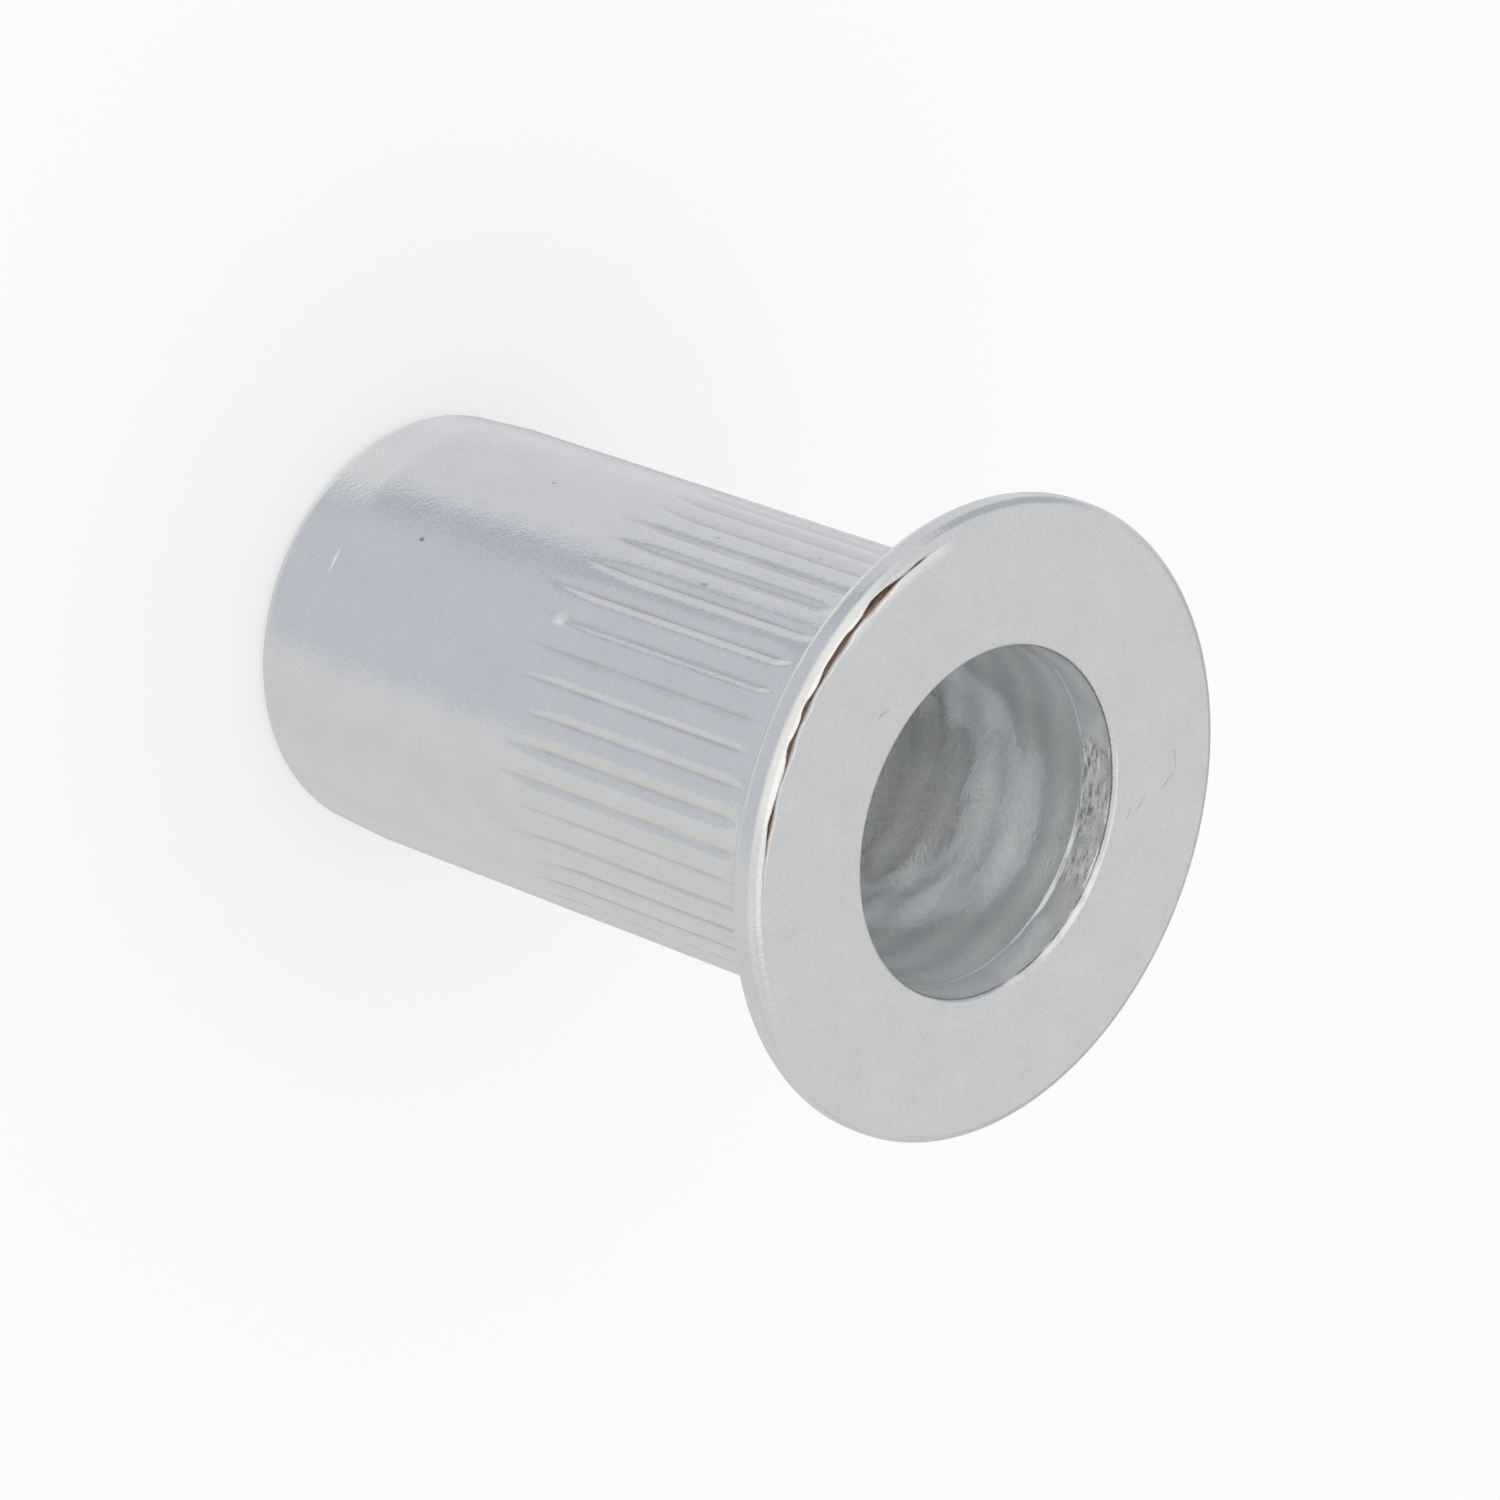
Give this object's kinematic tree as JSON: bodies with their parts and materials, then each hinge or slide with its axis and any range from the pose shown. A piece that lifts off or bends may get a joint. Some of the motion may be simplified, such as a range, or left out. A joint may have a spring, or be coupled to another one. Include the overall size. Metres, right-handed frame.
{
  "type": "rivet nut",
  "caption": "Open-ended blind rivet nut with a flat round flange, a straight-knurled cylindrical shank and an internal metric thread in its tail half.",
  "frame": {"origin": "centre of the tail end, on the surface that the nut stands on", "axes": "+Z along the nut's own axis, from the tail end to the flange's front face; X and Y are free, because the nut is round"},
  "size_m": [0.013, 0.013, 0.0165],
  "materials": {
    "zinc_plated_steel": "satin bright zinc plating"
  },
  "bodies": {
    "root": {"rivet_nut": "zinc_plated_steel"}
  },
  "joints": []
}
